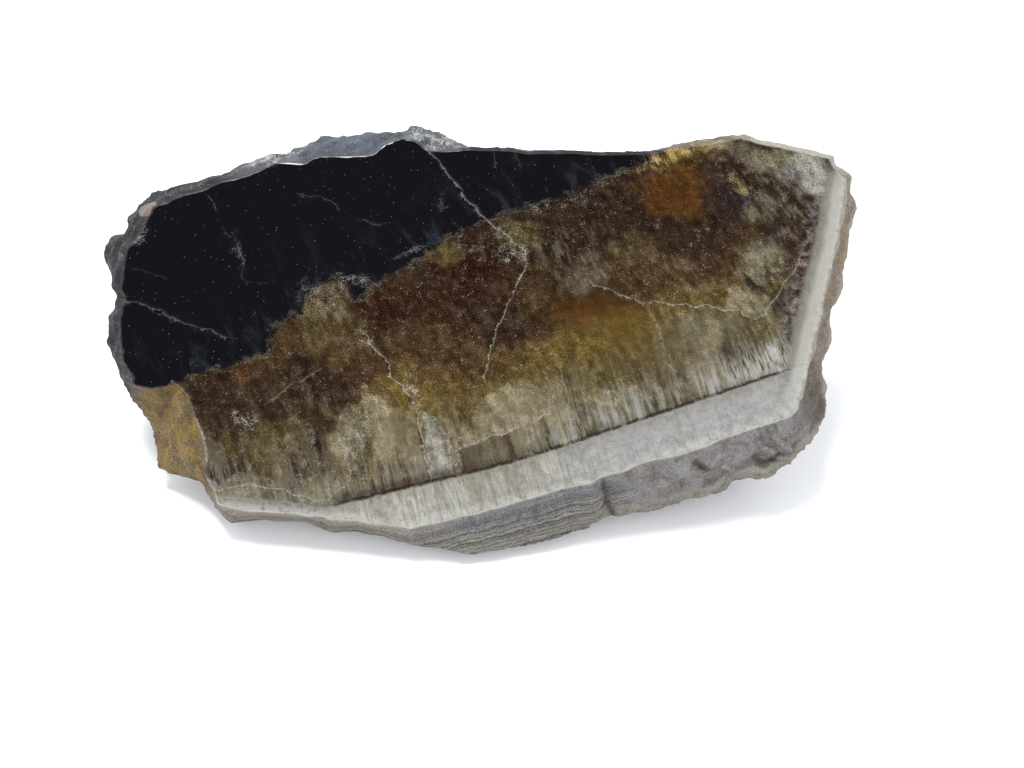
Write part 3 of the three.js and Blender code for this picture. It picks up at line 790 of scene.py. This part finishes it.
    # White band between the dark line and the rind, in blocks with leaning edges
    blocks = add(tree, "TexVoronoi", {0: along_fibres, "Scale": 0.36, "Randomness": 0.9}, 1)
    white = lay_over(
        tree, tint["milk"],
        (tint["lavender"], (add(tree, "SeparateColor", {0: blocks}), 0.1, 0.9), 0.6),
        (tint["haze"], (add(tree, "SeparateColor", {0: blocks}, 1), 0.5, 1.0), 0.35),
        (tint["haze"], (hair, 0.42, 0.62), 0.4),
        (tint["haze"], (rays, 0.5, 0.62), 0.45),
        (tint["lavender"], (soft_edges, 0.45, 0.62), 0.35),
        (tint["tan"], (cloud, 0.5, 0.7), 0.2),
        (tint["lavender"], (across, 5.0, 20.0), 0.7),
        (tint["haze"], (depth, -2.2, -0.2), 0.35),
        (tint["haze"], (block_edge, -0.08, 0.08), (block_edge, 9.0, 1.0), 0.35),
        (tint["rind"], (across, -9.0, -15.0), 0.3),
        (tint["plum"], (fluff, 0.48, 0.6), (across, -9.0, -15.0), 0.5),
        (tint["milk"], (mark["inside_rind"], 1.2, 0.3), (fluff, 0.35, 0.5), 0.6))
    white = graded(tree, white, grain, 0.3, 0.7, 0.85, 1.15)
    white = graded(tree, white, fluff, 0.35, 0.65, 0.82, 1.16)
    line_width = add(tree, "Math", {0: pushed(tree, depth, (fluff, 0.9), (grain, 0.3))}, operation="ABSOLUTE")
    beside_rim = add(tree, "Math", {0: mark["at_crust_edge"], 1: mark["at_shells"]}, operation="ADD")
    right_edge = pushed(tree, mark["inside_rind"], (fluff, 1.0), (soft_edges, 1.0))
    body = lay_over(
        tree, body,
        (white, (depth, 0.2, -0.2), 0.95),
        (tint["lavender"], (right_edge, 5.4, 3.4), beside_rim, (fluff, 0.42, 0.64), 0.45),
        (white, (right_edge, 3.2, 2.4), beside_rim, 0.92),
        (tint["olive"], (right_edge, 2.9, 2.6), (right_edge, 1.9, 2.4), mark["at_crust_edge"], 0.25),
        (tint["milk"], (right_edge, 2.1, 1.4), mark["at_crust_edge"], 0.6),
        (tint["crust"], (right_edge, 0.5, 0.15), mark["at_crust_edge"], 0.6),
        (tint["umber"], (line_width, 0.3, 0.08), (mark["inside_rind"], 0.6, 2.6), (streak, 0.34, 0.5, 0.3, 1.0), (across, -17.0, -14.0), 0.85),
        (tint["umber"], (depth, 1.5, 0.1), (depth, -0.3, 0.0), (streak, 0.42, 0.56), (across, -16.0, -12.0), 0.45),
        (tint["umber"], (depth, 1.3, 0.6), (depth, -0.5, 0.0), (block_edge, 0.5, -0.5), (fluff, 0.4, 0.52),
         (across, -16.0, -12.0), 0.6))

    # Fine pale cracks that wander and fade, and the bright edge of the polished face
    crack = add(
        tree, "Math", {0: pushed(tree, mark["crack"], (soft_edges, 2.2), (grain, 0.45))}, operation="ABSOLUTE")
    crack_share = add(tree, "Math", {0: crack, 1: mark["crack_wide"]}, operation="DIVIDE")
    edge = add(tree, "Math", {0: pushed(tree, beyond, (grain, 0.2))}, operation="ABSOLUTE")
    edge_share = add(tree, "Math", {0: mark["at_rind"], 1: mark["at_shells"]}, operation="ADD")
    crack_tint = lay_over(tree, tint["milk"], (tint["lavender"], (smoky, -1.0, 1.0), 0.8))
    body = lay_over(
        tree, body,
        (tint["haze"], (crack, 0.5, 0.05), (mark["crack_near"], 1.0, 0.5), mark["crack_light"], (fluff, 0.45, 0.6), 0.35),
        (crack_tint, (crack_share, 1.1, 0.3), (mark["crack_near"], 1.0, 0.5), mark["crack_light"],
         (fluff, 0.36, 0.54, 0.15, 1.0), (grain, 0.36, 0.58, 0.25, 1.0)),
        (tint["milk"], (edge, 0.22, 0.05), edge_share, 0.6),
        (tint["milk"], (mark["step_edge"], 0.3, 0.05), mark["at_honey"], (granules, 0.4, 0.6), 0.7))

    # Flecks: dots of 0.15 mm, the finest drawn about twice their real size so that they show
    dots = add(tree, "TexVoronoi", {0: place, "Scale": 1.25}, voronoi_dimensions="2D")
    dot_light = add(tree, "SeparateColor", {0: dots.node.outputs["Color"]})
    body = lay_over(
        tree, body,
        (tint["gold"], (feathers, 0.45, 0.6), (grain, 0.36, 0.54), mark["gilt"], 1.0),
        (tint["cream"], (dots, 0.1, 0.03), (dot_light, 0.7, 0.95), (fluff, 0.4, 0.56), (depth, 3.0, 8.0), restless,
         (smoky, 1.5, 0.0, 0.5, 1.0)),
        (tint["milk"], (granules, 0.66, 0.78), (depth, 6.0, 12.0), (smoky, 1.0, 0.0), restless, 0.6),
        (tint["milk"], (granules, 0.5, 0.66), frosty, 0.7))

    # Rough surfaces round the face
    layer_place = pushed(tree, beyond, (soft_edges, 0.5), (fluff, 0.3))
    layers = add(tree, "TexNoise", {"W": layer_place, "Scale": 2.8, "Detail": 5, "Roughness": 0.85}, noise_dimensions="1D")
    to_rim = pushed(tree, mark["to_rim"], (fluff, 1.2))
    rind = lay_over(
        tree, tint["rind"],
        (tint["lavender"], (layers, 0.52, 0.6), 0.65),
        (tint["plum"], (layers, 0.49, 0.43), 0.75),
        (tint["plum"], (streak, 0.5, 0.62), 0.3),
        (tint["lavender"], (hair, 0.5, 0.66), 0.45),
        (tint["umber"], (fluff, 0.54, 0.66), (across, 14.0, 20.0), 0.35),
        (tint["crust"], (fluff, 0.4, 0.56), (across, -4.0, -12.0), 0.7),
        (tint["plum"], (fluff, 0.6, 0.48), (across, -4.0, -12.0), 0.45),
        (tint["plum"], (layers, 0.48, 0.42), (to_rim, 2.2, 1.2), 0.4),
        (tint["cream"], (layers, 0.45, 0.54), (to_rim, 2.2, 1.2), 0.8))
    shells = lay_over(
        tree, tint["crust"],
        (tint["lavender"], 0.45),
        (tint["umber"], (feathers, 0.5, 0.38), 0.45),
        (tint["umber"], (layers, 0.48, 0.4), 0.5),
        (tint["lavender"], (wisps, 0.46, 0.58), 0.7),
        (tint["cream"], (layers, 0.52, 0.62), (fluff, 0.42, 0.6), 0.6),
        # Painted shade in a plum band beside each shell step, and a painted highlight as a pale line along its edge
        (tint["plum"], (mark["ridge_line"], 0.9, 0.5), (mark["ridge_line"], 0.2, 0.4), (fluff, 0.42, 0.55), 0.45),
        (tint["milk"], (mark["ridge_line"], 0.25, 0.05), (fluff, 0.4, 0.54), 0.45),
        (tint["cream"], (to_rim, 1.2, 0.5), 0.6))
    crust = lay_over(
        tree, tint["crust"],
        (tint["umber"], (fluff, 0.46, 0.36), 0.5),
        (tint["cream"], (fluff, 0.5, 0.64), 0.6),
        (tint["honey"], (cloud, 0.5, 0.62), 0.35),
        (tint["umber"], (depth, 4.0, -4.0), (mark["wall"], 1.0, 0.5), 0.4),
        (tint["cream"], (mark["to_rim"], 0.9, 0.3), 0.6))
    frost = lay_over(
        tree, tint["frost"],
        (tint["black"], (cloud, 0.46, 0.6), 0.5),
        (tint["lavender"], (grain, 0.54, 0.66), (fluff, 0.4, 0.6), 0.5),
        (tint["milk"], (granules, 0.46, 0.6), frosty, 1.0))
    broken = lay_over(
        tree, tint["black"],
        (tint["frost"], (feathers, 0.54, 0.64), 0.3),
        (tint["lavender"], (granules, 0.62, 0.74), 0.6),
        (tint["crust"], (mark["chip"], 0.4, 0.6)))
    # The chip's own amber colour, partly a painted glow of the light that passes through it
    honey = lay_over(
        tree, tint["honey"],
        (tint["golden"], (feathers, 0.44, 0.56), 0.6),
        (tint["brown"], (soft_edges, 0.5, 0.6), 0.7),
        (tint["tan"], (wisps, 0.52, 0.62), 0.5),
        (tint["brown"], (granules, 0.46, 0.34), 0.5),
        (tint["tan"], (granules, 0.58, 0.7), 0.5))
    top_ridge = lay_over(
        tree, tint["haze"],
        (tint["brown"], (feathers, 0.58, 0.44), 0.75),
        (tint["gold"], (fluff, 0.48, 0.6), (beyond, 2.5, 1.0), 0.5))
    crusted = pushed(tree, mark["crusty"], (fluff, 1.6))
    outside = lay_over(
        tree, rind,
        (shells, mark["at_shells"]),
        (crust, mark["at_crust_edge"]),
        (tint["cream"], mark["at_bevel"]),
        (top_ridge, mark["at_ridge"]),
        (tint["black"], mark["at_sharp"]),
        (frost, mark["at_frosted"]),
        (broken, mark["at_broken"]),
        (honey, mark["at_honey"]),
        (crust, mark["wall"], (crusted, 0.4, 0.6)),
        # Painted shade: umber darkens the clefts
        (tint["umber"], (mark["cleft"], 0.5, 0.1), 0.6))
    outside = graded(tree, outside, grain, 0.3, 0.7, 0.6, 1.35)
    off_face = cover(tree, (beyond, -0.08, 0.15))
    colour = lay_over(tree, body, (outside, off_face))

    # Smoky quartz breaks with glassy faces, so those stretches are less rough than the crust
    glassy = mark["at_sharp"]
    blunt = add(tree, "Math", {0: beyond, 1: mark["past_edge"]}, operation="MAXIMUM")
    rough = cover(tree, (blunt, -0.3, 0.05, 0.06, 0.65))
    roughness = add(tree, "Math", {0: cover(tree, off_face, glassy), 1: -0.25, 2: rough}, operation="MULTIPLY_ADD")
    bump = add(tree, "Bump", {
        "Strength": cover(tree, off_face, 0.85), "Distance": 0.3 * MM, "Height": pushed(tree, fluff, (grain, 0.7))})
    surface = add(tree, "BsdfPrincipled", {
        "Base Color": colour,
        "Roughness": roughness,
        "IOR": 1.544,
        "Specular IOR Level": 0.3,
        "Transmission Weight": cover(tree, mark["calm"], (beyond, -0.2, -1.0), 0.3),
        "Normal": bump,
    })
    add(tree, "OutputMaterial", {"Surface": surface})
    return material


class CITRINE_OT_stage(bpy.types.Operator):
    """Makes the floor, the light and the camera"""

    bl_idname = "citrine.stage"
    bl_label = "Build Stage"

    def execute(self, context):
        stage = context.scene.citrine_stage
        bpy.ops.object.select_all(action="DESELECT")
        bpy.ops.mesh.primitive_plane_add(size=6)
        floor = context.object
        floor.name = "floor"
        # Smooth white paper: matt, so the eye sees an even white with the stone's soft shadow on it
        material = bpy.data.materials.new("white paper")
        material.use_nodes = True
        paper = material.node_tree.nodes["Principled BSDF"]
        paper.inputs["Base Color"].default_value = (*stage.floor, 1)
        paper.inputs["Roughness"].default_value = 0.9
        paper.inputs["Specular IOR Level"].default_value = 0.1
        floor.data.materials.append(material)

        world = bpy.data.worlds.new("soft surroundings")
        world.use_nodes = True
        tree = world.node_tree
        direction = add(tree, "TexCoord")
        # The polished face mirrors this direction into the camera, so a dark screen hangs there
        towards_screen = add(tree, "VectorMath", {0: direction, 1: (0, -0.226, 0.974)}, 1, operation="DOT_PRODUCT")
        # The light comes more from behind the stone, so a narrow shadow lies under its front rim
        towards_back = add(tree, "SeparateXYZ", {0: direction}, 1)
        dome = cover(tree, (towards_back, -0.6, 0.6, 0.85, 1.0), stage.dome)
        strength = add(
            tree, "MapRange", {0: towards_screen, 1: 0.76, 2: 0.88, 3: dome, 4: stage.overhead},
            interpolation_type="SMOOTHSTEP")
        tree.links.new(strength, tree.nodes["Background"].inputs["Strength"])
        tree.nodes["Background"].inputs["Color"].default_value = (0.93, 0.96, 1, 1)
        context.scene.world = world

        bpy.ops.object.light_add(type="AREA", location=(-0.14, 0.2, 0.5))
        key = context.object
        key.name = "main light"
        key.data.shape = "DISK"
        key.data.size = 0.2
        key.data.energy = stage.key
        key.rotation_euler = Vector(key.location).to_track_quat("Z", "Y").to_euler()

        # The camera looks down at 47 degrees, turned 6 degrees, through a 35 mm lens
        turned = Matrix.Rotation(math.radians(90 - 47.04), 4, "X") @ Matrix.Rotation(math.radians(6.05), 4, "Z")
        bpy.ops.object.camera_add(
            location=(5.063 * MM, -88.436 * MM, 98.569 * MM), rotation=turned.to_euler())
        camera = context.object
        camera.data.sensor_width = 36
        camera.data.lens = 36 * 1000 / 1024
        camera.data.clip_start = 0.005
        context.scene.camera = camera
        context.scene.view_settings.view_transform = "Standard"
        return {"FINISHED"}


class CITRINE_PT_panel(bpy.types.Panel):
    """Lists the steps that build the stone and its stage"""

    bl_label = "Botryoidal Citrine"
    bl_idname = "CITRINE_PT_panel"
    bl_space_type = "VIEW_3D"
    bl_region_type = "UI"
    bl_category = "Citrine"

    def draw(self, context):
        for settings in (
            context.scene.citrine_sizes, context.scene.citrine_colours, context.scene.citrine_stage,
        ):
            box = self.layout.box()
            for name in settings.__annotations__:
                box.prop(settings, name)
        for operator in OPERATORS:
            self.layout.operator(operator.bl_idname)


OPERATORS = (CITRINE_OT_stage, CITRINE_OT_stone)
SETTINGS = {"citrine_sizes": CitrineSizes, "citrine_colours": CitrineColours, "citrine_stage": CitrineStage}


def register():
    for name, group in SETTINGS.items():
        bpy.utils.register_class(group)
        setattr(bpy.types.Scene, name, bpy.props.PointerProperty(type=group))
    for item in (*OPERATORS, CITRINE_PT_panel):
        bpy.utils.register_class(item)


def unregister():
    for item in (CITRINE_PT_panel, *reversed(OPERATORS)):
        bpy.utils.unregister_class(item)
    for name, group in SETTINGS.items():
        delattr(bpy.types.Scene, name)
        bpy.utils.unregister_class(group)


def main():
    register()
    bpy.ops.citrine.stage()
    bpy.ops.citrine.stone()


if __name__ == "__main__":
    main()
